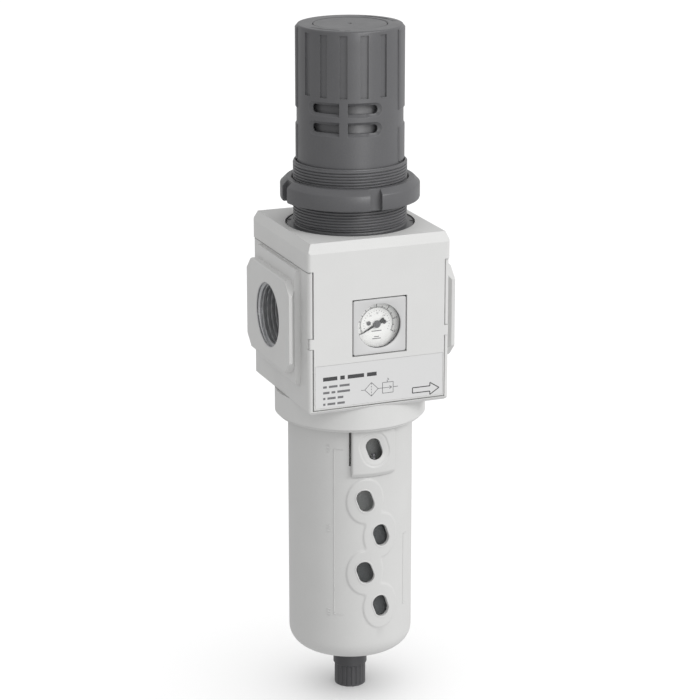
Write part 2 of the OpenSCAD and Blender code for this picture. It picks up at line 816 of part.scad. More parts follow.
module gauge_seal() {
    color("Black") along_y(25.5) difference() {
        cylinder(r = 7.5, h = 0.48);
        translate([0, 0, -eps]) cylinder(r = 5.1, h = 2);
    }
}

body();
cover();
label();
bonnet();
ring_nut();
knob();
knob_cap();
adjusting_screw();
thrust_washer();
screw_circlip();
spring_plate();
regulating_spring();
pressure_plate();
diaphragm();
backing_plate();
valve_stem();
valve_poppet();
valve_washer();
valve_seat();
valve_spring();
valve_guide();
guide_seal();
gauge_case();
gauge_bezel();
gauge_dial();
gauge_lens();
gauge_pointer();
gauge_pinion();
gauge_sector();
bourdon_tube();
dial_screws();
gauge_seal();
rear_plate();
rear_plug();
rear_plug_seal();
deflector();
filter_element();
element_gaskets();
baffle();
centre_rod();
bowl();
bowl_seal();
bowl_guard();
lock_slider();
slider_spring();
drain_body();
drain_nut();
drain_washer();
drain_knob();
drain_plunger();
drain_spring();
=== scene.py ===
import json
import math

import bmesh
import bpy
from mathutils import Matrix, Vector


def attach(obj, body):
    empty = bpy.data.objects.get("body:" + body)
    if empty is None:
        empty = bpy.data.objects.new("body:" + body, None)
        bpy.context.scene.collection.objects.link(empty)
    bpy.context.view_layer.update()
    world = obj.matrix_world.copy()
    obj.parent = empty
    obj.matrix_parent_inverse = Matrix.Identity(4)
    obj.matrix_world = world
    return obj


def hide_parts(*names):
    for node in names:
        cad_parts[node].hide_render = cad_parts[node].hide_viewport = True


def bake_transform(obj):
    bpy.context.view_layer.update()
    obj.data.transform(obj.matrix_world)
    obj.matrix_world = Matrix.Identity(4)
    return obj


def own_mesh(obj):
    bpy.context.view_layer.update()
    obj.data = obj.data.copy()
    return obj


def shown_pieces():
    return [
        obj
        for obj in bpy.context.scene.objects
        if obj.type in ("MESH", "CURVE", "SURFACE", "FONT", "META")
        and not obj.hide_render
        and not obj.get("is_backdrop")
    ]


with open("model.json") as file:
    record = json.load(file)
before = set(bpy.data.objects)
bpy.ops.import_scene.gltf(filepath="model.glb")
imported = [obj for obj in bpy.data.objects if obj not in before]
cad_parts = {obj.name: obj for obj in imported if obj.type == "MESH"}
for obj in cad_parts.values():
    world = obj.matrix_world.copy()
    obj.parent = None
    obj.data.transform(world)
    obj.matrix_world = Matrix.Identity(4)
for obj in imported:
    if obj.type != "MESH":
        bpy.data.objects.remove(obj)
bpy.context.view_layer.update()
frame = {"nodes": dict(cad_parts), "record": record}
nodes = frame["nodes"]
mm = 0.001
shot = bpy.context.scene
print("frame loaded,", len(nodes), "nodes")


# camera and light; the floor is laid at the end

cameraSetup = {
    "side": 21.8,  # degrees round to the inlet side
    "away": 1233.5,  # level distance from the axis, mm
    "height": 557.7,  # lens above the floor, mm
    "aim": 185.3,  # height on the axis that the lens looks at, mm
    "lens": 128.5,
}
side = math.radians(cameraSetup["side"])
eye = Vector((-math.sin(side), -math.cos(side), 0)) * cameraSetup["away"] * mm
eye.z = cameraSetup["height"] * mm
aim = Vector((0, 0, cameraSetup["aim"] * mm))
camera = bpy.data.objects.new("camera", bpy.data.cameras.new("camera"))
camera.data.lens = cameraSetup["lens"]
camera.data.sensor_width = 36
camera.data.clip_start = 0.05
camera.data.clip_end = 60
camera.location = eye
camera.rotation_euler = (aim - eye).to_track_quat("-Z", "Y").to_euler()
shot.collection.objects.link(camera)
shot.camera = camera
shot.view_settings.view_transform = "Standard"

lamps = {  # the way each light shines from, degrees of softness, strength, and what it lights
    "key": {"from": (0.5, -0.67, 0.56), "soft": 24, "power": 1.25, "on": "object"},
    "strip": {"from": (0.07, -1, 0.05), "soft": 26, "power": 1.7, "on": "object", "gloss": True},
    "top": {"from": (0.05, -0.1, 1), "soft": 120, "power": 1.05, "on": "floor"},
}
receivers = {name: bpy.data.collections.new(name) for name in ("object", "floor")}
for name, lamp in lamps.items():
    light = bpy.data.lights.new(name, "SUN")
    light.angle = math.radians(lamp["soft"])
    light.energy = lamp["power"]
    holder = bpy.data.objects.new(name, light)
    holder.rotation_euler = Vector(lamp["from"]).to_track_quat("Z", "Y").to_euler()
    holder.light_linking.receiver_collection = receivers[lamp["on"]]
    holder.visible_diffuse = not lamp.get("gloss")
    shot.collection.objects.link(holder)

studio = bpy.data.worlds.new("studio")  # white tent, brightest in front and towards the outlet
shot.world = studio
studio.use_nodes = True
tent = studio.node_tree
way = tent.nodes.new("ShaderNodeTexCoord")
lean = tent.nodes.new("ShaderNodeVectorMath")
lean.operation = "DOT_PRODUCT"
lean.inputs[1].default_value = (0.5, -0.6, 0.45)
dim = tent.nodes.new("ShaderNodeMapRange")
for key, value in (("From Min", -1), ("From Max", 1), ("To Min", 0.56), ("To Max", 0.96)):
    dim.inputs[key].default_value = value
tent.links.new(way.outputs["Generated"], lean.inputs[0])
tent.links.new(lean.outputs["Value"], dim.inputs["Value"])
tent.links.new(dim.outputs[0], tent.nodes["Background"].inputs["Strength"])
tent.nodes["Background"].inputs["Color"].default_value = (1, 1, 1, 1)
print("camera and lights set")


# materials

def toLinear(hexColour):  # sRGB hex to linear RGBA
    parts = [int(hexColour[i:i + 2], 16) / 255 for i in (1, 3, 5)]
    return [p / 12.92 if p <= 0.04045 else ((p + 0.055) / 1.055) ** 2.4 for p in parts] + [1]


def addNode(tree, kind, settings=None, links=None):  # one node with its settings and what feeds it
    node = tree.nodes.new(kind)
    for key, value in (settings or {}).items():
        if isinstance(key, int) or key in node.inputs:
            node.inputs[key].default_value = value
        else:
            setattr(node, key, value)
    for key, source in (links or {}).items():
        tree.links.new(source, node.inputs[key])
    return node


def makeSurface(name, look):
    material = bpy.data.materials.new(name)
    material.use_nodes = True
    tree = material.node_tree
    shader = tree.nodes["Principled BSDF"]
    fixed = {"Metallic": look.get("metallic", 0), "IOR": look.get("ior", 1.5),
             "Alpha": look.get("solid", 1), "Coat Weight": look.get("coat", 0),
             "Coat Roughness": look.get("coatRough", 0.2)}
    for key, value in fixed.items():
        shader.inputs[key].default_value = value
    place = addNode(tree, "ShaderNodeTexCoord").outputs["Object"]
    if "stretch" in look:
        place = addNode(tree, "ShaderNodeMapping", {"Scale": look["stretch"]}, {"Vector": place}).outputs[0]
    # slow cloudiness in the colour, and in how much it shines
    cloud = addNode(tree, "ShaderNodeTexNoise", {"Scale": 1 / (look["cloudMm"] * mm), "Detail": 3},
                    {"Vector": place}).outputs["Fac"]
    # the grain, drawn a little coarser than life so that it shows
    if look.get("cells"):
        grain = addNode(tree, "ShaderNodeTexVoronoi", {"Scale": 1 / (look["grainMm"] * mm)},
                        {"Vector": place}).outputs["Distance"]
    else:
        grain = addNode(tree, "ShaderNodeTexNoise", {"Scale": 1 / (look["grainMm"] * mm), "Detail": 5,
                        "Roughness": 0.6}, {"Vector": place}).outputs["Fac"]
    tint = addNode(tree, "ShaderNodeMix", {"data_type": "RGBA", 6: toLinear(look["colour"]),
                   7: toLinear(look["shade"])}, {0: cloud}).outputs[2]
    speck = addNode(tree, "ShaderNodeMapRange", {"From Min": 0.35, "From Max": 0.7, "To Min": 0,
                    "To Max": look.get("speck", 0.1)}, {"Value": grain}).outputs[0]
    tint = addNode(tree, "ShaderNodeMix", {"data_type": "RGBA", "blend_type": "MULTIPLY",
                   7: (0.55, 0.55, 0.55, 1)}, {0: speck, 6: tint}).outputs[2]
    # edges rounded by handling and the tool's radius
    rounded = addNode(tree, "ShaderNodeBevel", {"samples": 6, "Radius": look.get("edgeMm", 0.25) * mm})
    # painted highlight: where the rounded normal turns away from the flat one, the colour is mixed towards a paler
    # edge colour
    if look.get("edgeLight"):
        flat = addNode(tree, "ShaderNodeNewGeometry").outputs["Normal"]
        turn = addNode(tree, "ShaderNodeVectorMath", {"operation": "DOT_PRODUCT"},
                       {0: rounded.outputs[0], 1: flat}).outputs["Value"]
        edgeHighlight = addNode(tree, "ShaderNodeMapRange", {"From Min": 1, "From Max": 0.75, "To Min": 0,
                       "To Max": look["edgeLight"]}, {"Value": turn}).outputs[0]
        tint = addNode(tree, "ShaderNodeMix", {"data_type": "RGBA", 7: toLinear(look["edgeHighlight"])},
                       {0: edgeHighlight, 6: tint}).outputs[2]
    tree.links.new(tint, shader.inputs["Base Color"])
    polish = addNode(tree, "ShaderNodeMapRange", {"To Min": look["rough"] - look["roughSpread"],
                     "To Max": look["rough"] + look["roughSpread"]}, {"Value": cloud}).outputs[0]
    tree.links.new(polish, shader.inputs["Roughness"])
    height = grain
    if "ringMm" in look:  # tool marks left by the lathe
        rings = addNode(tree, "ShaderNodeTexWave", {"wave_type": "BANDS", "bands_direction": "Z",
                        "Scale": 1 / (look["ringMm"] * mm) / 20, "Distortion": 0.4}, {"Vector": place})
        height = addNode(tree, "ShaderNodeMath", {"operation": "ADD"}, {0: grain, 1: rings.outputs["Fac"]}).outputs[0]
    bump = addNode(tree, "ShaderNodeBump", {"Strength": look.get("bump", 0.5), "Distance": look["grainDeepMm"] * mm},
                   {"Height": height, "Normal": rounded.outputs[0]})
    tree.links.new(bump.outputs[0], shader.inputs["Normal"])
    return material


looks = {
    # powder-coated die-cast aluminium: a satin skin, with faint orange peel
    "powderCoatedDieCastAluminium": {"colour": "#d2d2d1", "shade": "#cbcbca", "rough": 0.42, "roughSpread": 0.05,
        "grainMm": 0.9, "grainDeepMm": 0.03, "cloudMm": 18, "speck": 0.05, "edgeMm": 0.6,
        "edgeLight": 0.35, "edgeHighlight": "#e6e6e5", "bump": 0.45},
    # powder-coated pressed steel of the guard: the same satin skin, its colour a shade darker as painted shade for
    # the weaker light low on the guard
    "pressedSteelCoatPaintedShade": {"colour": "#cbcbca", "shade": "#c4c4c3", "rough": 0.4, "roughSpread": 0.05,
        "grainMm": 0.9, "grainDeepMm": 0.03, "cloudMm": 18, "speck": 0.05, "edgeMm": 0.4,
        "edgeLight": 0.35, "edgeHighlight": "#e2e2e1", "bump": 0.45},
    # spark-eroded moulded ABS, light grey: dead matt with a fine even grain
    "mouldedLightAbs": {"colour": "#d4d4d3", "shade": "#cdcdcc", "rough": 0.55, "roughSpread": 0.04,
        "grainMm": 0.5, "grainDeepMm": 0.035, "cloudMm": 25, "speck": 0.08, "edgeMm": 0.4,
        "edgeLight": 0.3, "edgeHighlight": "#e4e4e3", "bump": 0.5},
    # spark-eroded glass-filled nylon, dark grey: grainy, with a painted highlight that makes its edges paler
    "mouldedDarkGlassNylon": {"colour": "#5d5d5f", "shade": "#565658", "rough": 0.4, "roughSpread": 0.06,
        "grainMm": 0.5, "grainDeepMm": 0.07, "cloudMm": 12, "speck": 0.3, "edgeMm": 0.26,
        "edgeLight": 0.45, "edgeHighlight": "#8a8a8b", "bump": 0.6},
    # moulded black acetal: a waxy dark skin
    "mouldedBlackAcetal": {"colour": "#414143", "shade": "#38383b", "rough": 0.42, "roughSpread": 0.06,
        "grainMm": 0.6, "grainDeepMm": 0.04, "cloudMm": 6, "speck": 0.2, "edgeMm": 0.2,
        "edgeLight": 0.4, "edgeHighlight": "#6a6a6c", "bump": 0.45},
    # screen-printed polyester film: smooth and a shade glossier than the cover under it
    "printedPolyesterFilm": {"colour": "#d1d1d1", "shade": "#cdcdcd", "rough": 0.36, "roughSpread": 0.05,
        "grainMm": 1.2, "grainDeepMm": 0.01, "cloudMm": 30, "speck": 0.03, "edgeMm": 0.1, "bump": 0.2},
    # drawn spring steel: long bright drawing marks
    "drawnSpringSteel": {"colour": "#8f8f92", "shade": "#7c7c80", "metallic": 1, "rough": 0.32, "roughSpread": 0.08,
        "grainMm": 0.4, "grainDeepMm": 0.02, "cloudMm": 5, "speck": 0.1, "edgeMm": 0.1},
    # zinc-plated turned steel: bright, slightly clouded, with lathe marks
    "zincPlatedSteel": {"colour": "#b4b5b8", "shade": "#a3a5aa", "metallic": 1, "rough": 0.3, "roughSpread": 0.08,
        "grainMm": 0.8, "grainDeepMm": 0.015, "cloudMm": 7, "speck": 0.08, "edgeMm": 0.15, "ringMm": 0.6},
    # turned aluminium: pale, fine tool rings
    "turnedAluminium": {"colour": "#c9cacb", "shade": "#bcbdbf", "metallic": 1, "rough": 0.34, "roughSpread": 0.06,
        "grainMm": 0.7, "grainDeepMm": 0.015, "cloudMm": 9, "speck": 0.06, "edgeMm": 0.15, "ringMm": 0.5},
    # tapped aluminium: bright torn crests over dark oily valleys
    "tappedAluminium": {"colour": "#c6c7c8", "shade": "#b2b3b5", "metallic": 0.75, "rough": 0.34, "roughSpread": 0.08,
        "grainMm": 0.5, "grainDeepMm": 0.02, "cloudMm": 4, "speck": 0.25, "edgeMm": 0.1},
    # turned brass: warm, with fine rings and dull patches
    "turnedBrass": {"colour": "#c8a45c", "shade": "#b18c48", "metallic": 1, "rough": 0.33, "roughSpread": 0.08,
        "grainMm": 0.6, "grainDeepMm": 0.015, "cloudMm": 6, "speck": 0.12, "edgeMm": 0.15, "ringMm": 0.5},
    # moulded nitrile rubber: black, dry and dusty
    "mouldedNitrile": {"colour": "#1f1f20", "shade": "#29292b", "rough": 0.68, "roughSpread": 0.08,
        "grainMm": 0.3, "grainDeepMm": 0.02, "cloudMm": 4, "speck": 0.15, "edgeMm": 0.15},
    # natural acetal: creamy and waxy
    "turnedAcetal": {"colour": "#d9d5c4", "shade": "#cfcab6", "rough": 0.4, "roughSpread": 0.05,
        "grainMm": 0.4, "grainDeepMm": 0.01, "cloudMm": 6, "speck": 0.05, "edgeMm": 0.15},
    # sintered polyethylene: chalky beads fused together
    "sinteredPolyethylene": {"colour": "#dcdcd9", "shade": "#cfcfca", "rough": 0.85, "roughSpread": 0.05,
        "grainMm": 0.5, "grainDeepMm": 0.16, "cloudMm": 12, "speck": 0.35, "cells": True, "edgeMm": 0.2},
    # blow-smooth polycarbonate: clear with a faint cool tint
    "clearPolycarbonate": {"colour": "#d6dadb", "shade": "#cdd2d4", "solid": 0.08, "ior": 1.585, "rough": 0.08,
        "roughSpread": 0.03, "grainMm": 6, "grainDeepMm": 0.01, "cloudMm": 20, "speck": 0.02, "edgeMm": 0.2},
    # cast acrylic lens: water clear, polished
    "castAcrylic": {"colour": "#f7f9f9", "shade": "#f4f6f6", "solid": 0.03, "ior": 1.49, "rough": 0.04,
        "roughSpread": 0.02, "grainMm": 5, "grainDeepMm": 0.004, "cloudMm": 20, "speck": 0.0, "edgeMm": 0.1},
    # white enamelled aluminium dial: even, eggshell
    "whiteEnamel": {"colour": "#f4f4f2", "shade": "#efefed", "rough": 0.5, "roughSpread": 0.04,
        "grainMm": 0.3, "grainDeepMm": 0.004, "cloudMm": 8, "speck": 0.03, "edgeMm": 0.05},
    # stoved black paint on the pointer: matt and slightly uneven
    "stovedBlackPaint": {"colour": "#161617", "shade": "#1e1e20", "rough": 0.5, "roughSpread": 0.08,
        "grainMm": 0.2, "grainDeepMm": 0.004, "cloudMm": 2, "speck": 0.05, "edgeMm": 0.05},
    # moulded white ABS round the dial: slightly glossy
    "mouldedWhiteAbs": {"colour": "#c8c8c8", "shade": "#c3c3c3", "rough": 0.38, "roughSpread": 0.05,
        "grainMm": 0.5, "grainDeepMm": 0.012, "cloudMm": 10, "speck": 0.03, "edgeMm": 0.35,
        "edgeLight": 0.3, "edgeHighlight": "#ececec"},
    # screen-printed grey ink: flat with fine pinholes
    "printedInk": {"colour": "#2e2e30", "shade": "#39393b", "rough": 0.55, "roughSpread": 0.05,
        "grainMm": 0.25, "grainDeepMm": 0.004, "cloudMm": 2, "speck": 0.3, "edgeMm": 0.03},
    # pale grey ink for the small rows
    "printedPaleInk": {"colour": "#666668", "shade": "#707072", "rough": 0.55, "roughSpread": 0.05,
        "grainMm": 0.25, "grainDeepMm": 0.004, "cloudMm": 2, "speck": 0.3, "edgeMm": 0.03},
    # sealed, painted studio floor: nearly white, matt
    "paintedFloor": {"colour": "#fbfbfb", "shade": "#f9f9f9", "rough": 0.8, "roughSpread": 0.03,
        "grainMm": 3, "grainDeepMm": 0.02, "cloudMm": 900, "speck": 0.01, "edgeMm": 0.01},
}
surfaces = {name: makeSurface(name, look) for name, look in looks.items()}

bySlot = {"cast_light": "powderCoatedDieCastAluminium", "shell_light": "mouldedLightAbs",
          "film": "printedPolyesterFilm", "shell_dark": "mouldedDarkGlassNylon", "drain_dark": "mouldedBlackAcetal",
          "steel": "zincPlatedSteel", "spring_steel": "drawnSpringSteel", "alloy": "turnedAluminium",
          "brass": "turnedBrass", "rubber": "mouldedNitrile", "bronze_washer": "turnedAcetal",
          "element": "sinteredPolyethylene", "clear": "clearPolycarbonate", "lens": "castAcrylic",
          "dial": "whiteEnamel", "pointer": "stovedBlackPaint", "bezel": "mouldedWhiteAbs"}
slotOf = {s["node"]: s["material_slot"] for s in frame["record"]["subparts"]}
for name, node in nodes.items():
    node.data.materials.clear()
    node.data.materials.append(surfaces[bySlot[slotOf[name]]])
print(len(surfaces), "materials made")


# mesh makers, all in millimetres in the frame of the CAD

def makeObject(name, points, faces, crease=30):
    work = bmesh.new()
    corners = [work.verts.new(Vector(p) * mm) for p in points]
    for face in faces:
        work.faces.new([corners[i] for i in face])
    bmesh.ops.remove_doubles(work, verts=work.verts, dist=1e-7)
    bmesh.ops.dissolve_degenerate(work, edges=work.edges, dist=1e-8)
    bmesh.ops.recalc_face_normals(work, faces=work.faces)
    mesh = bpy.data.meshes.new(name)
    work.to_mesh(mesh)
    work.free()
    piece = bpy.data.objects.new(name, mesh)
    shot.collection.objects.link(piece)
    smooth(piece, crease)
    return piece


def smooth(piece, crease=30):
    piece.data.shade_smooth()
    piece.data.set_sharp_from_angle(angle=math.radians(crease))


def loft(name, loops, closed=False, crease=30):  # skin over loops of equal count, ends closed with fans
    count = len(loops[0])
    points = [p for loop in loops for p in loop]
    faces = []
    for i in range(len(loops) if closed else len(loops) - 1):
        a, b = i * count, (i + 1) % len(loops) * count
        faces += [(a + k, a + (k + 1) % count, b + (k + 1) % count, b + k) for k in range(count)]
    if not closed:
        for i in (0, len(loops) - 1):
            points.append(sum((Vector(p) for p in loops[i]), Vector()) / count)
            faces += [(len(points) - 1, i * count + k, i * count + (k + 1) % count) for k in range(count)]
    return makeObject(name, points, faces, crease)


def onCylinder(angle, radius, z):  # angle in degrees from the front, towards the outlet
    turn = math.radians(angle)
    return (radius * math.sin(turn), -radius * math.cos(turn), z)


def lathe(name, profile, steps=144, crease=30):  # closed outline of (radius, z)
    return loft(name, [[onCylinder(360 * i / steps, r, z) for r, z in profile] for i in range(steps)], True, crease)


def box(name, low, high):
    loops = [[(low[0], low[1], z), (high[0], low[1], z), (high[0], high[1], z), (low[0], high[1], z)]
             for z in (low[2], high[2])]
    return loft(name, loops)


def radialBlock(name, angle, near, far, low, high):  # near and far are (radius, half width)
    turn = math.radians(angle)
    out = Vector((math.sin(turn), -math.cos(turn)))
    along = Vector((math.cos(turn), math.sin(turn)))
    corners = ((near[0], -near[1]), (far[0], -far[1]), far, near)
    flat = [out * radius + along * half for radius, half in corners]
    return loft(name, [[(p.x, p.y, z) for p in flat] for z in (low, high)])


def carve(piece, tool, how="DIFFERENCE", crease=30):
    step = piece.modifiers.new("carve", "BOOLEAN")
    step.operation = how
    step.object = tool
    step.solver = "MANIFOLD"
    bake(piece)
    bpy.data.objects.remove(tool)
    smooth(piece, crease)


def bake(piece):  # applies the modifiers
    view = bpy.context.evaluated_depsgraph_get()
    shaped = bpy.data.meshes.new_from_object(piece.evaluated_get(view))
    piece.modifiers.clear()
    piece.data = shaped


def joined(name, pieces):
    work = bmesh.new()
    for piece in pieces:
        piece.data.transform(piece.matrix_world)
        work.from_mesh(piece.data)
        bpy.data.objects.remove(piece)
    mesh = bpy.data.meshes.new(name)
    work.to_mesh(mesh)
    work.free()
    whole = bpy.data.objects.new(name, mesh)
    shot.collection.objects.link(whole)
    smooth(whole)
    return whole


def fit(piece, body, slot, surface=None, *stoodFor):
    piece.data.materials.clear()
    piece.data.materials.append(surfaces[surface or bySlot[slot]])
    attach(piece, body)
    if stoodFor:
        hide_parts(*stoodFor)
    return piece


def ease(value, low, high):  # smooth step from 0 at low to 1 at high
    t = min(1, max(0, (value - low) / (high - low)))
    return t * t * (3 - 2 * t)


def obround(halfWidth, reach, grow=0, steps=64):
    loop = []
    for k in range(steps):
        a = 2 * math.pi * (k + 0.5) / steps
        loop.append(((halfWidth + grow) * math.cos(a), (halfWidth + grow) * math.sin(a)
                     + math.copysign(reach, math.sin(a))))
    return loop


def tilted(loop, degrees):
    c, s = math.cos(math.radians(degrees)), math.sin(math.radians(degrees))
    return [(u * c - v * s, u * s + v * c) for u, v in loop]


def wrapped(loop, angle, radius, z):  # flat outline laid on a cylinder, as seen square on
    turn = math.radians(angle)
    laid = []
    for u, v in loop:
        depth = math.sqrt(max(radius ** 2 - u ** 2, 0))
        laid.append((u * math.cos(turn) + depth * math.sin(turn), u * math.sin(turn) - depth * math.cos(turn), z + v))
    return laid


def copyNode(node, name):  # the CAD shape as a closed mesh of its own
    shape = nodes[node].data
    return makeObject(name, [v.co / mm for v in shape.vertices], [tuple(f.vertices) for f in shape.polygons], 20)


# casting and cover, with the moulding gaps between them opened up

joint = {"skirt": 240.1, "gap": 0.55, "deep": 1.3, "tabZ": (199.5, 207), "tabEnd": 37.35,
         "panelHalf": 35.1, "panelLow": 168.45, "panelGap": 0.65}
casting = copyNode("body", "casting")
for sign in (-1, 1):
    across = sorted((sign * (38 - joint["deep"]), sign * 40))
    carve(casting, box("skirtGap", (across[0], -41, joint["skirt"] - joint["gap"]),
                       (across[1], 41, joint["skirt"] + 0.4)), crease=20)
wide, low = joint["panelHalf"] + joint["panelGap"], joint["panelLow"]
for front in (-1, 1):
    near, far = sorted((front * 37.6, front * 41))
    for sign in (-1, 1):
        across = sorted((sign * joint["panelHalf"], sign * wide))
        carve(casting, box("panelGap", (across[0], near, low - 0.5), (across[1], far, joint["skirt"])), crease=20)
    carve(casting, box("panelGap", (-wide, near, low - 0.5), (wide, far, low)), crease=20)
fit(casting, "housing", "cast_light", None, "body")
cover = copyNode("cover", "cover")
for sign in (-1, 1):
    across = sorted((sign * joint["tabEnd"], sign * 40))
    carve(cover, box("tabGap", (across[0], -41, joint["tabZ"][0]), (across[1], 41, joint["tabZ"][1])), crease=20)
fit(cover, "housing", "shell_light", None, "cover")
print("casting and cover made,", len(casting.data.polygons), len(cover.data.polygons), "faces")


# bowl guard: deep cup with raised pads round its sight slots

guard = {"radius": 32.3, "wall": 1.4, "round": 10, "bottom": 24.5, "top": 164, "hole": 5.94,
         "slotLow": 55.1, "slotStep": 19.6, "slotTurn": 7.7, "tilt": 20, "halfWidth": 4, "reach": 2,
         "pad": 0.55, "padWide": 9.75, "padHigh": 12.2, "lugRadius": 34.6, "lugFrom": 160}
slots = [((1 if i % 2 == 0 else -1) * guard["slotTurn"], guard["slotLow"] + i * guard["slotStep"]) for i in range(4)]


def padHeight(angle, z):
    angle = (angle + 180) % 360 - 180
    if abs(angle) > 90:
        angle -= math.copysign(180, angle)
    near = 99
    for turn, level in slots:
        u = guard["radius"] * math.radians(angle - turn)
        far = (math.hypot(u / guard["padWide"], (z - level) / guard["padHigh"]) - 1) * 10.8
        blend = max(0, 2.6 - abs(near - far))
        near = min(near, far) - blend * blend / 10.4
    return guard["pad"] * (1 - ease(near, -0.55, 0.55))


def guardProfile(angle):
    r, w, q, z0 = guard["radius"], guard["wall"], guard["round"], guard["bottom"]
    profile = [(guard["hole"], z0)]
    for i in range(13):
        a = math.radians(-90 + 7.5 * i)
        profile.append((r - q + q * math.cos(a), z0 + q + q * math.sin(a)))
    z = z0 + q + 2
    while z < guard["top"] - 0.5:
        profile.append((r + padHeight(angle, z), z))
        z += 0.42 if 38 < z < 129 else 6
    profile += [(r, guard["top"]), (r - w, guard["top"])]
    for i in range(9):
        a = math.radians(-11.25 * i)
        profile.append((r - q + (q - w) * math.cos(a), z0 + q + (q - w) * math.sin(a)))
    return profile + [(guard["hole"], z0 + w)]


angles = [a * 0.62 for a in range(-58, 59)]
angles += [38 + a * 3 for a in range(35)] + [180 + a for a in angles] + [218 + a * 3 for a in range(35)]
shell = loft("bowlGuard", [[onCylinder(a, r, z) for r, z in guardProfile(a)] for a in angles], True, 40)
for half in (0, 180):
    for turn, level in slots:
        outline = tilted(obround(guard["halfWidth"], guard["reach"], 0.45), guard["tilt"])
        carve(shell, loft("slot", [wrapped(outline, half + turn, r, level) for r in (27, 37)]), crease=40)
for sideways in (-1, 1):
    turn = sideways * 21.7
    slit = [onCylinder(turn + s, r, 0) for r, s in ((29, -1.06), (37, -1.06), (37, 1.06), (29, 1.06))]
    carve(shell, loft("slit", [[(x, y, z) for x, y, _ in slit] for z in (133.2, 152.7)]), crease=40)
carve(shell, box("springSlot", (-3, -37, 129), (3, -28, 147)), crease=40)
carve(shell, loft("lockHole", [wrapped(tilted(obround(4.6, 3), 20), 0, r, 140.5) for r in (27, 37)]), crease=40)
for third in (0, 120, 240):
    arc = [onCylinder(third + a, guard["lugRadius"], 0) for a in range(-18, 19, 2)]
    arc += [onCylinder(third + a, guard["radius"] - 0.7, 0) for a in range(18, -19, -2)]
    carve(shell, loft("lug", [[(x, y, z) for x, y, _ in arc] for z in (guard["lugFrom"], guard["top"] - 0.05)]),
          "UNION", 40)
# painted shade: the guard, and later its lock, take the darker copy of the powder coat
fit(shell, "bowl_unit", "cast_light", "pressedSteelCoatPaintedShade", "bowl_guard")

lip = [(0, 30.95), (0, 32.35), (0.06, 32.72), (0.22, 32.95), (0.5, 33.05), (0.8, 33), (1.15, 32.7), (1, 32.2),
       (0.5, 30.95)]  # how far outside the slot, at what radius
rims = []
for half in (0, 180):
    for turn, level in slots:
        rims.append(loft("rim", [wrapped(tilted(obround(guard["halfWidth"], guard["reach"], grow), guard["tilt"]),
                                         half + turn, r, level) for grow, r in lip], True, 60))
fit(joined("slotRims", rims), "bowl_unit", "cast_light", "pressedSteelCoatPaintedShade")


def rib(name, path, width=0.55, rise=0.26, radius=None):  # low raised line on the guard, path of (angle, z)
    radius = radius or guard["radius"]
    loops = []
    for i, (angle, z) in enumerate(path):
        before, after = path[max(i - 1, 0)], path[min(i + 1, len(path) - 1)]
        along = Vector((math.radians(after[0] - before[0]) * radius, after[1] - before[1])).normalized()
        across = Vector((-along.y, along.x)) * width / 2
        loop = []
        for k in (-1, -0.6, 0, 0.6, 1, 0):
            lift = -0.15 if k == 0 and len(loop) > 2 else rise * (1 - k * k) - 0.02
            loop.append(onCylinder(angle + math.degrees(across.x * k / radius), radius + lift, z + across.y * k))
        loops.append(loop)
    return loft(name, loops, crease=50)


def line(start, end, steps):
    return [(start[0] + (end[0] - start[0]) * i / steps, start[1] + (end[1] - start[1]) * i / steps)
            for i in range(steps + 1)]


scale = {"left": -36.5, "right": 36.8, "tick": 8.5, "low": 51.6, "high": 142, "rightHigh": 90.6, "marks": -41.6}
ribs = [rib("level", line((scale["left"], scale["low"]), (scale["left"], scale["high"]), 40)),
        rib("level", line((scale["right"], scale["low"]), (scale["right"], scale["rightHigh"]), 20))]
for z in (scale["low"], scale["high"]):
    ribs.append(rib("tick", line((scale["left"], z), (scale["left"] + scale["tick"], z), 8)))
for z in (scale["low"], scale["rightHigh"]):
    ribs.append(rib("tick", line((scale["right"], z), (scale["right"] + 5, z), 6)))
for z in (52.6, 98.7, 142):  # plain dashes beside the scale
    for level in (z - 1.6, z, z + 1.6):
        dash = line((scale["marks"] - 1.5, level), (scale["marks"] + 1.5, level), 4)
        ribs.append(rib("dash", dash, 0.6, 0.34))
fit(joined("levelMarks", ribs), "bowl_unit", "cast_light", "pressedSteelCoatPaintedShade")
print("bowl guard made,", len(shell.data.polygons), "faces")


# bowl lock: curved slide with a dished thumb grip round an obround hole

lock = {"radius": 34.6, "inside": 32.4, "relieved": 33.05, "bottom": 127.2, "top": 152.7, "span": 20.5,
        "holeAt": 142, "dishWide": 7.8, "dishReach": 1.75, "deep": 0.85, "bevel": 2.2}


def lockRelief(angle, z):
    u = lock["radius"] * math.sin(math.radians(angle))
    t = math.radians(-guard["tilt"])
    v = z - lock["holeAt"]
    u, v = u * math.cos(t) - v * math.sin(t), u * math.sin(t) + v * math.cos(t)
    edge = math.hypot(u, max(abs(v) - lock["dishReach"], 0)) - lock["dishWide"]
    dish = 0.5 * (1 - ease(edge, -0.35, 0.25)) + 0.55 * (1 - ease(edge, -3.6, -0.9))
    lip = 1.5 * max(0, 1 - (z - lock["bottom"]) / lock["bevel"])
    side = 0.8 * max(0, 1 - (lock["span"] - abs(angle)) / 1.2)
    return -dish * lock["deep"] / 0.85 - max(lip, side)


def lockColumn(angle):
    corner = max(0, abs(angle) - lock["span"] + 1.9) / 1.9
    low = lock["bottom"] + 1.1 * (1 - math.sqrt(max(0, 1 - corner ** 2)))
    rows = [low + (lock["top"] - low) * i / 84 for i in range(85)]
    outer = [onCylinder(angle, lock["radius"] + lockRelief(angle, z), z) for z in rows]
    inner = [onCylinder(angle, lock["relieved"] if z < 139 else lock["inside"], z) for z in reversed(rows[::6])]
    return outer + inner


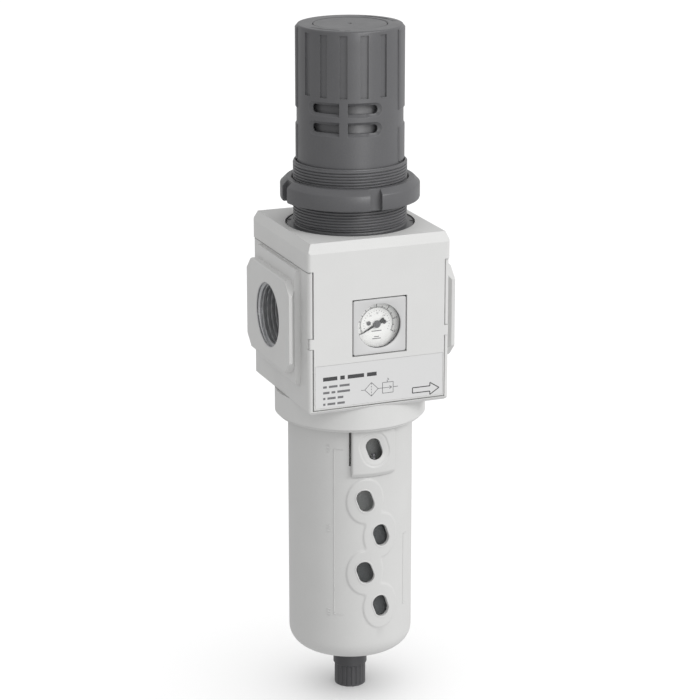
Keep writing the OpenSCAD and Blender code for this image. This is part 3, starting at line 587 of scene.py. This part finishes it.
slide = loft("lockSlider", [lockColumn(-lock["span"] + lock["span"] * i / 41) for i in range(83)], crease=33)
hole = tilted(obround(guard["halfWidth"], guard["reach"]), guard["tilt"])
carve(slide, loft("hole", [wrapped(hole, 0, r, lock["holeAt"]) for r in (28, 38)]), crease=33)
tongue = box("tongue", (-2.8, -33.1, 139), (2.8, -31.5, 146.5))
carve(tongue, loft("hole", [wrapped(hole, 0, r, lock["holeAt"]) for r in (28, 38)]))
fit(joined("lockTongue", [tongue]), "lock", "shell_light")
fit(slide, "lock", "shell_light", "pressedSteelCoatPaintedShade", "lock_slider")
print("bowl lock made")


# knob: drafted skirt with grip grooves, side wings and dished windows

knob = {"radius": 26.95, "draft": 0.3, "bottom": 283.4, "top": 354.8, "inside": 24.7, "turned": -28.8,
        "cap": 18.75, "capDeep": 2.9, "grooveTop": 352.6, "grooveLow": 321.5, "grooveStep": 22.5,
        "grooveWide": 3.8, "grooveDeep": 1.1, "rows": (306.1, 315.8), "windowHigh": 4.3, "from": 4.5, "to": 39.5,
        "dish": 1.9, "dishDeep": 1.25, "wingRise": 0.5, "wingSpan": 20, "edge": 0.9,
        "wings": ((286.8, 305.5), (313.2, 354.1))}
r, z0, z1 = knob["radius"], knob["bottom"], knob["top"]
profile = [(knob["inside"], z0), (r - 0.4, z0), (r, z0 + 0.5)]
e = knob["edge"]
profile += [(r - knob["draft"] * i / 12, z0 + 0.5 + (z1 - e - 0.5 - z0) * i / 12) for i in range(1, 13)]
for i in range(1, 9):  # rolled top edge
    a = math.radians(11.25 * i)
    profile.append((r - knob["draft"] - e + e * math.cos(a), z1 - e + e * math.sin(a)))
profile += [(knob["cap"] + 0.4, z1), (knob["cap"], z1 - 0.4), (knob["cap"], z1 - knob["capDeep"]),
            (0, z1 - knob["capDeep"]), (0, z1 - 5.5), (knob["inside"], z1 - 5.5)]
grip = lathe("knob", profile, 180)
for middle in (-90, 90):
    for low, high in knob["wings"]:
        loops = []
        for z, back in ((low, 0.5), (low + 0.6, 0), (high - 0.9, 0), (high, 0.8)):
            outline = []
            for i in range(25):
                a = -knob["wingSpan"] + knob["wingSpan"] * i / 12
                rounding = 0.35 * max(0, 1 - (knob["wingSpan"] - abs(a)) / 1.2)
                outline.append(onCylinder(middle + a, r + knob["wingRise"] - back - rounding, z))
            outline += [onCylinder(middle + knob["wingSpan"] - knob["wingSpan"] * i / 12, 25.6, z) for i in range(25)]
            loops.append(outline)
        carve(grip, loft("wing", loops), "UNION")


def windowOutline(side, grow, radius):  # square against the middle bar, round at the outer end
    h = knob["windowHigh"] / 2
    start = radius * math.radians(knob["from"])
    end = radius * math.radians(knob["to"]) - h
    loop = [(start, -h - grow), (start, h + grow)]
    loop += [(start + (end - start) * i / 8, h + grow) for i in range(1, 8)]
    loop += [(end + (h + grow) * math.cos(math.radians(90 - 15 * i)),
              (h + grow) * math.sin(math.radians(90 - 15 * i))) for i in range(13)]
    loop += [(end - (end - start) * i / 8, -h - grow) for i in range(1, 8)]
    return [(side * math.degrees(u / radius), v) for u, v in loop]


for half in (0, 180):
    for level in knob["rows"]:
        for side in (-1, 1):
            for depths in (((22, 0), (29, 0)), ((r - knob["dishDeep"] - 0.3, 0.05), (r + 2.5, knob["dish"] + 2.2))):
                loops = [[onCylinder(half + a, reachOut, level + v) for a, v in windowOutline(side, grow, r)]
                         for reachOut, grow in depths]
                carve(grip, loft("window", loops))
    for i in range(5):
        w = knob["grooveWide"] / 2
        carve(grip, radialBlock("groove", half - 45 + knob["grooveStep"] * i, (r - knob["grooveDeep"], w),
                                (r + 1, w + 0.25), knob["grooveLow"], knob["grooveTop"]))


def flatShape(name, outline, z, rise=0.09):  # low raised shape on a level face
    return loft(name, [[(x, y, z - 0.1) for x, y in outline], [(x, y, z + rise) for x, y in outline]])


def levelBar(x, y, halfX, halfY):
    return flatShape("bar", [(x - halfX, y - halfY), (x + halfX, y - halfY), (x + halfX, y + halfY),
                             (x - halfX, y + halfY)], z1)


marks = []
for middle, way in ((150, 1), (-30, -1)):  # curved arrows, and a plus and a minus
    arcOut = [onCylinder(middle + way * a, 23.4, 0)[:2] for a in range(-24, 19, 3)]
    arcIn = [onCylinder(middle + way * a, 22.5, 0)[:2] for a in range(18, -25, -3)]
    marks.append(flatShape("arrow", arcOut + arcIn, z1))
    head = [onCylinder(middle + way * a, q, 0)[:2] for a, q in ((17, 24.4), (25, 22.95), (17, 21.5))]
    marks.append(flatShape("head", head, z1))
    x, y, _ = onCylinder(middle - way * 34, 22.9, 0)
    marks.append(levelBar(x, y, 1.4, 0.3))
    if way > 0:
        marks.append(levelBar(x, y, 0.3, 1.4))
capTop = z1 - 0.15  # press-in cap with a gap all round and a small pip hole
capDisc = lathe("knobCap", [(1.1, capTop - 0.6), (1.1, capTop), (18.2, capTop), (18.4, capTop - 0.2),
                            (18.4, z1 - 2.8), (0.01, z1 - 2.8), (0.01, capTop - 0.6)], 96)
fit(capDisc, "knob", slotOf["knob_cap"], "mouldedDarkGlassNylon", "knob_cap")
turnKnob = Matrix.Rotation(math.radians(knob["turned"]), 4, "Z")
grip.data.transform(turnKnob)
topMarks = joined("knobMarks", marks)
topMarks.data.transform(turnKnob)
fit(grip, "knob", "shell_dark", None, "knob")
fit(topMarks, "knob", "shell_dark")
print("knob made,", len(grip.data.polygons), "faces")


# bonnet: flange, cut panel thread, rim and the smooth inner tube

bonnet = {"outer": 28.86, "deep": 0.72, "pitch": 1.5, "threadFrom": 254.4, "threadTo": 286.1, "top": 286.4,
          "flange": 32.6, "flangeTop": 253.6, "deck": 250.6, "rim": 27.45, "rimFloor": 282.9, "tube": 22.5,
          "roof": 330.9, "roofThick": 4}


def threadShape(phase):  # rounded crest, narrow valley
    return ease(phase, 0.08, 0.3) * (1 - ease(phase, 0.74, 0.96))


def bonnetProfile(angle):
    b = bonnet
    profile = [(31, 233.6), (31, b["deck"]), (b["flange"], b["deck"]), (b["flange"], b["flangeTop"] - 0.7),
               (b["flange"] - 0.5, b["flangeTop"]), (b["outer"] - b["deep"] + 0.3, b["flangeTop"]),
               (b["outer"] - b["deep"], b["flangeTop"] + 0.4)]
    steps = 250
    for i in range(steps + 1):
        z = b["threadFrom"] + (b["threadTo"] - b["threadFrom"]) * i / steps
        runOut = ease(z, b["threadFrom"], b["threadFrom"] + 0.8) * (1 - ease(z, b["threadTo"] - 0.5, b["threadTo"]))
        phase = ((z - b["threadFrom"]) / b["pitch"] - angle / 360) % 1
        profile.append((b["outer"] - b["deep"] * (1 - threadShape(phase) * runOut), z))
    profile += [(b["outer"] - b["deep"] - 0.1, b["top"]), (b["rim"] + 0.2, b["top"]), (b["rim"], b["top"] - 0.2),
                (b["rim"], b["rimFloor"]), (b["tube"], b["rimFloor"]), (b["tube"], b["roof"] + b["roofThick"] - 0.8),
                (b["tube"] - 0.8, b["roof"] + b["roofThick"]), (6.06, b["roof"] + b["roofThick"]), (6.06, b["roof"]),
                (20.5, b["roof"]), (20.5, 280.4), (25, 280.4), (25, 233.6)]
    return profile


neck = loft("bonnet", [[onCylinder(a * 2.5, r, z) for r, z in bonnetProfile(a * 2.5)] for a in range(144)], True, 48)
for angle in (-24, 66, 156, 246):  # shallow notches for a spanner
    carve(neck, radialBlock("spanner", angle, (30.1, 4), (31.9, 4), 253.25, 254), crease=48)
fit(neck, "housing", "shell_dark", None, "bonnet")

nut = {"outer": 35.4, "inner": 28.95, "bottom": 266.5, "top": 277.5, "notch": 6.4, "notchDeep": 3}
o, z0, z1 = nut["outer"], nut["bottom"], nut["top"]
collar = lathe("panelNut", [(nut["inner"] + 0.9, z0), (o - 1, z0), (o - 0.3, z0 + 0.3), (o, z0 + 1), (o, z1 - 3.3),
                            (o - 0.12, z1 - 2.9), (o - 0.4, z1 - 2.6), (o - 2.7, z1 - 0.3), (o - 3.1, z1 - 0.06),
                            (o - 3.5, z1), (nut["inner"] + 0.9, z1), (nut["inner"], z1 - 0.9),
                            (nut["inner"], z0 + 0.9)], 180, 34)
for quarter in range(4):
    w = nut["notch"] / 2
    carve(collar, radialBlock("notch", 90 * quarter, (o - nut["notchDeep"], w), (o + 2, w), z0 - 1, z1 + 1),
          crease=34)
fit(collar, "panel_nut", "shell_dark", None, "ring_nut")
print("bonnet and nut made")


# port threads: cut rings inside each mouth

port = {"z": 209, "face": 45, "end": 27.2, "crest": 15.15, "root": 16.6, "pitch": 2.309}


def portProfile(angle):
    profile = [(port["root"], port["face"] - 0.05), (port["crest"] + 1.15, port["face"] - 0.25)]
    steps = 130
    for i in range(steps + 1):
        x = port["face"] - 0.9 - (port["face"] - 0.9 - port["end"]) * i / steps
        phase = ((port["face"] - x) / port["pitch"] - angle / 360) % 1
        start = ease(port["face"] - x, 0.9, 2.6)
        profile.append((port["root"] - 0.1 - (port["root"] - 0.1 - port["crest"]) * start * threadShape(phase), x))
    return profile + [(port["root"], port["end"])]


for sideName, sign in (("inlet", -1), ("outlet", 1)):
    loops = []
    for k in range(120):
        turn = math.radians(3 * k)
        loops.append([(sign * x, r * math.cos(turn), port["z"] + r * math.sin(turn)) for r, x in portProfile(3 * k)])
    fit(loft(sideName + "Thread", loops, True, 48), "housing", "alloy", "tappedAluminium")
print("port threads made")


# gauge: printed dial, pointer with its hub

dial = {"z": 209, "face": -35.7, "sweep": 234, "start": 207, "ticks": 61, "ring": 8.6, "opening": 11.5,
        "numbersAt": 10.55, "smallAt": 5.5}


def onDial(angle, radius, lift=0.03):  # anticlockwise degrees from the right, seen from the front
    turn = math.radians(angle)
    return (radius * math.cos(turn), dial["face"] - lift, dial["z"] + radius * math.sin(turn))


def stroke(name, start, end, width, thick=0.02):  # flat printed line between two points facing the front
    a, b = Vector(start), Vector(end)
    along = (b - a).normalized()
    across = Vector((-along.z, 0, along.x)) * width / 2
    back = Vector((0, thick, 0))
    return loft(name, [[a - across + back, a + across + back, b + across + back, b - across + back],
                       [a - across - back, a + across - back, b + across - back, b - across - back]])


def figure(text, at, size):  # a number on the dial
    letters = bpy.data.curves.new("figure", "FONT")
    letters.body = text
    letters.size = size * mm
    letters.align_x = "CENTER"
    letters.align_y = "CENTER"
    letters.extrude = 0.01 * mm
    holder = bpy.data.objects.new("figure", letters)
    holder.rotation_euler = (math.pi / 2, 0, 0)
    holder.location = Vector(at) * mm
    shot.collection.objects.link(holder)
    bpy.context.view_layer.update()
    mesh = bpy.data.meshes.new_from_object(holder.evaluated_get(bpy.context.evaluated_depsgraph_get()))
    mesh.transform(holder.matrix_world)
    bpy.data.objects.remove(holder)
    piece = bpy.data.objects.new("figure", mesh)
    shot.collection.objects.link(piece)
    return piece


def onFront(outline, y):
    return [(u, y, dial["z"] + v) for u, v in outline]


def squareOutline(half, corner, steps=16):
    loop = []
    for quarter in range(4):
        turn = math.pi / 2 * quarter
        middle = Vector((half - corner, half - corner))
        for i in range(steps):
            a = math.pi / 2 * i / (steps - 1)
            point = middle + corner * Vector((math.cos(a), math.sin(a)))
            loop.append((point.x * math.cos(turn) - point.y * math.sin(turn),
                         point.x * math.sin(turn) + point.y * math.cos(turn)))
    return loop


def shifted(outline, dx, dz):
    return [(u + dx, v + dz) for u, v in outline]


def circleOutline(radius, steps=64):
    return [(radius * math.cos(2 * math.pi * (i + 0.5) / steps), radius * math.sin(2 * math.pi * (i + 0.5) / steps))
            for i in range(steps)]


frontFace = -39.7
edges = ((14.2, 1.2, 2), (14.2, 1.2, 0.35), (13.9, 1, 0.05), (13.6, 0.9, 0))
bezel = loft("bezel", [onFront(shifted(squareOutline(half, corner), 0.15, -0.12), frontFace + back)
                       for half, corner, back in edges]
             + [onFront(circleOutline(11.9), frontFace), onFront(circleOutline(11.6), frontFace + 0.12),
                onFront(circleOutline(dial["opening"]), frontFace + 0.4),
                onFront(circleOutline(dial["opening"]), frontFace + 2)], True, 25)
fit(bezel, "housing", "bezel", None, "gauge_bezel")
# painted shade: the wall inside the bezel opening is coloured dark acetal, standing for the crescent of shade in the
# well
wellShade = loft("dialWellShade", [onFront(circleOutline(dial["opening"] - inset), frontFace + back)
                         for inset, back in ((0, 0.7), (0.1, 0.75), (0.1, 1.95), (0, 1.97))], True)
fit(wellShade, "housing", "drain_dark")
# painted shade: a dark rubber-coloured frame at the back of the gap round the bezel, standing for the shade down in
# that gap
gapShade = loft("bezelGapShade", [onFront(squareOutline(half, 1), frontFace + back)
                              for half, back in ((14.68, 1.2), (13.8, 1.2), (13.8, 1.9), (14.68, 1.9))], True)
fit(gapShade, "housing", "rubber")

dark, pale = [], []
for i in range(dial["ticks"]):
    angle = dial["start"] - dial["sweep"] * i / (dial["ticks"] - 1)
    long = 1.9 if i % 10 == 0 else 1.3 if i % 5 == 0 else 0.8
    dark.append(stroke("tick", onDial(angle, dial["ring"]), onDial(angle, dial["ring"] + long * 0.75),
                       0.34 if i % 5 == 0 else 0.2))
    if i % 3 == 0:
        pale.append(stroke("tick", onDial(angle, 6.6), onDial(angle, 7.1), 0.2))
for i in range(0, 13, 2):
    dark.append(figure(str(i), onDial(dial["start"] - dial["sweep"] * i / 12, dial["numbersAt"]), 1.55))
for i in range(1, 6):
    pale.append(figure(str(i * 30), onDial(dial["start"] - dial["sweep"] * i / 5.8, dial["smallAt"]), 1.05))
arc = [onDial(dial["start"] - dial["sweep"] * i / 80, 8.55) for i in range(81)]
dark += [stroke("arc", arc[i], arc[i + 1], 0.12) for i in range(80)]
for width, level in ((5.4, -3.6), (2.6, -6.6), (4.6, -7.6)):
    pale.append(stroke("line", (-width / 2, dial["face"] - 0.03, dial["z"] + level),
                       (width / 2, dial["face"] - 0.03, dial["z"] + level), 0.42))
fit(joined("dialPrint", dark), "housing", "pointer", "printedInk")
fit(joined("dialPalePrint", pale), "housing", "pointer", "printedPaleInk")

needle = {"tip": 9.6, "tail": 4.5, "at": 0.5, "thick": 0.25}
aimed = math.radians(dial["start"])


def needleShape(name, outline, low, high):
    loops = []
    for lift in (low, high):
        loops.append([(u * math.cos(aimed) - v * math.sin(aimed), dial["face"] - lift,
                       dial["z"] + u * math.sin(aimed) + v * math.cos(aimed)) for u, v in outline])
    return loft(name, loops)


edge = [(-needle["tail"], 1.15), (-3.4, 1.25), (-1.6, 0.7), (0, 0.66), (needle["tip"], 0.14)]
hand = [(u, -v) for u, v in edge] + edge[::-1]
disc, small = circleOutline(1.9, 36), circleOutline(0.95, 36)
screws = [loft("screw", [[(u + x, dial["face"] - lift, dial["z"] + 0.7 + v) for u, v in circleOutline(r, 24)]
                         for r, lift in ((1.1, 0.01), (1.1, 0.2), (0.8, 0.3))]) for x in (-4.2, 4.2)]
fit(joined("dialScrews", screws), "housing", slotOf["dial_screws"], "mouldedDarkGlassNylon", "dial_screws")
fit(joined("pointerHand", [needleShape("hand", hand, needle["at"], needle["at"] + needle["thick"])]),
    "pointer", "pointer", None, "gauge_pointer")
fit(joined("pointerHub", [needleShape("hub", disc, needle["at"] + 0.1, needle["at"] + 0.42),
                          needleShape("boss", small, needle["at"] + 0.3, needle["at"] + 0.62)]),
    "pointer", "shell_dark", "mouldedDarkGlassNylon")
print("gauge made")


# label print: plain bars, the filter-regulator symbol and a flow arrow

labelFace = -39.985
ink, paleInk = [], []


def printed(start, end, width):
    return stroke("print", (start[0], labelFace, start[1]), (end[0], labelFace, end[1]), width, 0.012)


def printedRow(level, lengths, width, gap):  # plain bars in place of words
    bars, x = [], label["left"]
    for length in lengths:
        bars.append(printed((x, level), (x + length, level), width))
        x += length + gap
    return bars


def printedLoop(corners, width):
    return [printed(corners[i], corners[(i + 1) % len(corners)], width) for i in range(len(corners))]


label = {"left": -30.4, "title": (7.6, 2.4, 8.8, 5.2), "titleAt": 184.4, "titleWide": 2, "titleGap": 1.6,
         "rows": ((180.3, (2, 4.6, 5.4)), (177.3, (3.4, 2, 6.8)), (174.3, (1.2, 4.4, 3)), (171.3, (1.2, 4.2, 4))),
         "rowWide": 1.15, "rowGap": 1.1, "thin": 0.3, "bold": 0.5, "axis": 176.4}
ink += printedRow(label["titleAt"], label["title"], label["titleWide"], label["titleGap"])
for level, lengths in label["rows"]:
    paleInk += printedRow(level, lengths, label["rowWide"], label["rowGap"])
thin, axis = label["thin"], label["axis"]
paleInk += printedLoop([(-8, axis), (-4.4, 180), (-0.8, axis), (-4.4, 172.8)], thin)  # the filter
paleInk += [printed((-4.4, 172.9 + i * 1.5), (-4.4, 173.7 + i * 1.5), thin) for i in range(5)]
paleInk += [printed((-10, axis), (-8, axis), thin), printed((-0.8, axis), (1.6, axis), thin)]
paleInk += printedLoop([(1.6, 173.6), (1.6, 179.2), (7.4, 179.2), (7.4, 173.6)], thin)  # the regulator
paleInk += [printed(start, end, thin) for start, end in (
    ((1.6, axis), (6.4, axis)), ((5.4, 177.2), (6.6, axis)), ((5.4, 175.6), (6.6, axis)), ((7.4, axis), (10, axis)),
    ((4.5, 179.2), (4, 180)), ((4, 180), (5, 180.7)), ((5, 180.7), (4.2, 181.4)))]
ink += printedLoop([(18, 171.7), (27.6, 171.7), (27.6, 169.9), (32.6, 173.1), (27.6, 176.3), (27.6, 174.5),
                    (18, 174.5)], label["bold"])  # flow arrow
fit(joined("labelPrint", ink), "housing", "film", "printedInk")
fit(joined("labelPalePrint", paleInk), "housing", "film", "printedPaleInk")
print("label printed")


# springs, wound smooth with their end coils closed

closedTurns = 0.75  # at each end
creep = 0.04  # part of the height that the closed turns climb too


def windSpring(name, spring):
    turns, wire, radius = spring["turns"], spring["wire"], spring["radius"]
    low, high = spring["z"][0] + wire, spring["z"][1] - wire
    steps, sides = int(turns * 30), 12
    loops = []
    for i in range(steps + 1):
        t = i / steps
        dead = closedTurns / turns
        rise = min(1, max(0, (t - dead) / (1 - 2 * dead)))
        rise = creep * t + (1 - creep) * rise if rise < 1 else 1 - creep * (1 - t)
        turn = 2 * math.pi * turns * t
        middle = Vector((radius * math.cos(turn), spring["y"] + radius * math.sin(turn), low + (high - low) * rise))
        out = Vector((math.cos(turn), math.sin(turn), 0))
        loops.append([middle + out * wire * math.cos(2 * math.pi * k / sides)
                      + Vector((0, 0, wire * math.sin(2 * math.pi * k / sides))) for k in range(sides)])
    coil = fit(loft(name, loops, crease=60), spring["body"], "spring_steel", None, spring["node"])
    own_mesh(coil)


springs = {
    "regulatingCoil": {"radius": 16.5, "wire": 1.9, "z": (240, 311.9), "turns": 7, "y": 0, "body": "housing",
                       "node": "regulating_spring", "joint": "plate_travel", "travel": 10},
    "valveCoil": {"radius": 5.4, "wire": 0.6, "z": (184, 203.5), "turns": 7, "y": 0, "body": "housing",
                  "node": "valve_spring", "joint": "valve_lift", "travel": 2.5},
    "lockCoil": {"radius": 1, "wire": 0.22, "z": (129, 139), "turns": 9, "y": -31.9, "body": "bowl_unit",
                 "node": "slider_spring", "joint": "lock_slide", "travel": 4.5},
    "drainCoil": {"radius": 2.3, "wire": 0.35, "z": (13.4, 23.5), "turns": 6, "y": 0, "body": "bowl_unit",
                  "node": "drain_spring", "joint": "drain_open", "travel": -1.5},
}
for name, spring in springs.items():
    windSpring(name, spring)
print("springs wound")


# diaphragm: rim clamped in the housing, middle carried by the plates; it is cut in wedges

rubber = {"z": 232, "thick": 1.6, "hole": 4.05, "outer": 30.6, "flat": 22, "foldIn": 22.5, "foldTop": 23.4,
          "foldOut": 24.4, "foldHigh": 3, "shoulder": 2.5, "wedges": 16, "still": 24.0, "carried": 22.0}
low = rubber["z"]
upper = low + rubber["thick"]
section = [(rubber["hole"], low), (rubber["flat"], low), (rubber["foldIn"], low + 0.1),
           (rubber["foldTop"], low + 1.1), (rubber["foldOut"] - 0.1, low + 0.1), (rubber["outer"], low),
           (rubber["outer"], upper), (rubber["foldOut"], upper), (rubber["foldTop"] + 0.55, low + rubber["shoulder"]),
           (rubber["foldTop"], low + rubber["foldHigh"]), (rubber["foldTop"] - 0.5, low + rubber["shoulder"]),
           (rubber["foldIn"], upper), (rubber["flat"], upper), (rubber["hole"], upper)]
for i in range(rubber["wedges"]):
    span = 360 / rubber["wedges"]
    loops = [[onCylinder(span * (i + j / 6), q, z) for q, z in section] for j in range(7)]
    wedge = loft("diaphragmWedge" + str(i + 1), loops)
    wedge.data.materials.append(surfaces["mouldedNitrile"])
    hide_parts("diaphragm")
    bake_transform(wedge)
print("diaphragm made")


floorMesh = bpy.data.meshes.new("floor")
reach = 25
floorMesh.from_pydata([(-reach, -reach, 0), (reach, -reach, 0), (reach, reach, 0), (-reach, reach, 0)], [],
                      [(0, 1, 2, 3)])
floor = bpy.data.objects.new("floor", floorMesh)
floor.data.materials.append(surfaces["paintedFloor"])
shot.collection.objects.link(floor)
floor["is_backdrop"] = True
floor.visible_diffuse = floor.visible_glossy = False  # a cut-out set: the table sends no light back up
receivers["floor"].objects.link(floor)
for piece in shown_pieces():
    receivers["object"].objects.link(piece)
